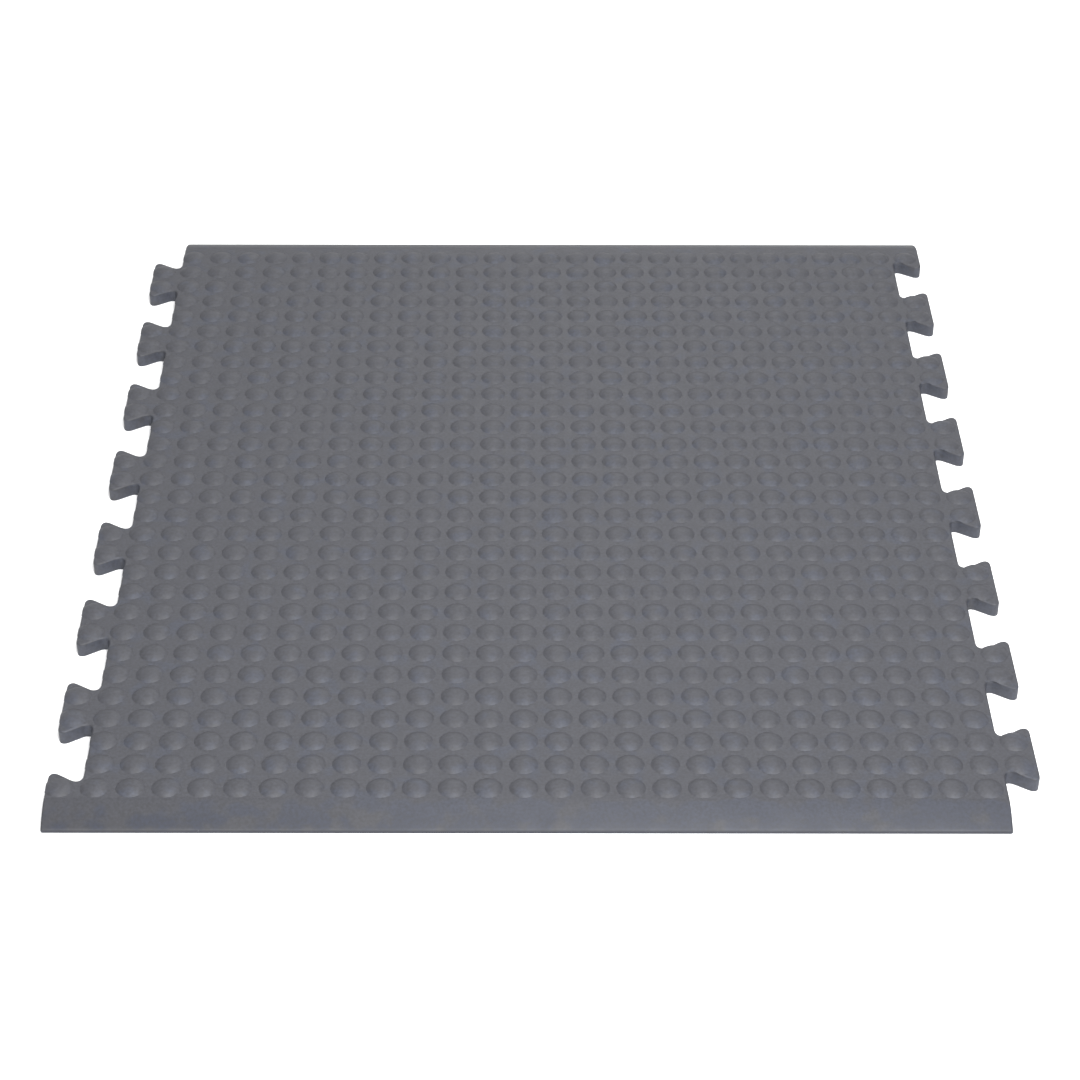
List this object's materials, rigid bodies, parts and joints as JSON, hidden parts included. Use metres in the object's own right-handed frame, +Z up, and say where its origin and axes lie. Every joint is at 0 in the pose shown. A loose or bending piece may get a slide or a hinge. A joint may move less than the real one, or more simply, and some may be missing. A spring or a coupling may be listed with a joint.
{
  "type": "interlocking anti-fatigue mat",
  "caption": "Moulded rubber floor tile with a domed deck, dovetail tabs and notches along both sides, and ramped front and back borders.",
  "frame": {"origin": "middle of the underside, on the floor", "axes": "+Z up, +Y towards the back border, +X towards the right joint side; the ramped borders face -Y and +Y and the tabs stand out along -X and +X"},
  "size_m": [0.797, 0.9144, 0.0159],
  "materials": {
    "mat": "matt dark grey moulded rubber"
  },
  "bodies": {
    "root": {"mat": "mat"}
  },
  "joints": []
}
